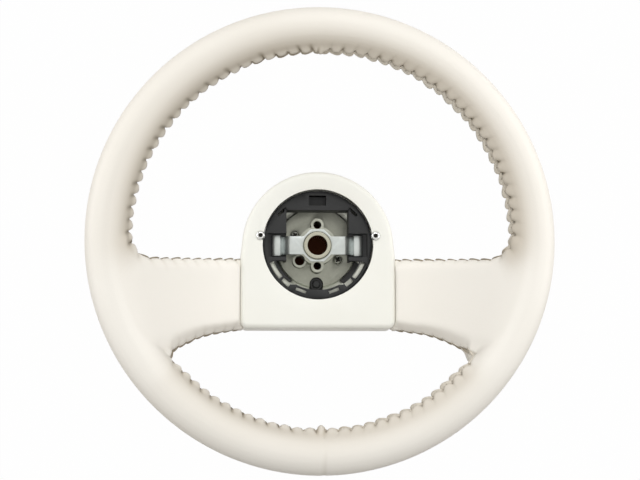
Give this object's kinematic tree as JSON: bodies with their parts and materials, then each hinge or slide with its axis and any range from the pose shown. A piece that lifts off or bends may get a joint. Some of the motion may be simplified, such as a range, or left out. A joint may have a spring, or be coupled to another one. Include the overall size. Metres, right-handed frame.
{
  "type": "car steering wheel",
  "caption": "Leather-covered car steering wheel with laced seams, broad spokes, a D-shaped moulded hub shroud and an open horn seat round a splined boss.",
  "frame": {"origin": "on the steering axis, at the edge of the rear skirt on which the wheel lies", "axes": "+Z along the steering axis towards the driver, +Y to twelve o'clock, +X to the driver's right"},
  "size_m": [0.38, 0.38, 0.1076],
  "materials": {
    "leather": "satin",
    "lacing": "satin",
    "frame_steel": "satin",
    "white_moulding": "satin",
    "zinc_steel": "satin",
    "chrome": "polished",
    "casting": "cast",
    "turned_steel": "turned",
    "black_moulding": "matte",
    "spring_steel": "plated",
    "brass": "satin"
  },
  "bodies": {
    "wheel": {"leather_cover": "leather", "upper_lacing": "lacing", "lower_lacing": "lacing", "rim_frame": "frame_steel", "hub_shroud": "white_moulding", "rear_cover": "white_moulding", "rear_cover_screws": "zinc_steel", "shroud_screws": "chrome", "hub_casting": "casting", "spline_boss": "turned_steel", "horn_carrier": "black_moulding", "contact_strip": "spring_steel", "cam_screws": "zinc_steel", "cancel_cam": "black_moulding", "slip_ring": "brass", "pin_spring": "spring_steel"},
    "pin": {"contact_pin": "black_moulding"}
  },
  "joints": [
    {"name": "contact_pin_slide", "type": "slide", "parent": "wheel", "child": "pin", "axis": [0, 0, -1], "range_m": [0, 0.003], "stiffness_N_per_m": 300, "springref_m": -0.004, "deforming": ["pin_spring"]}
  ]
}
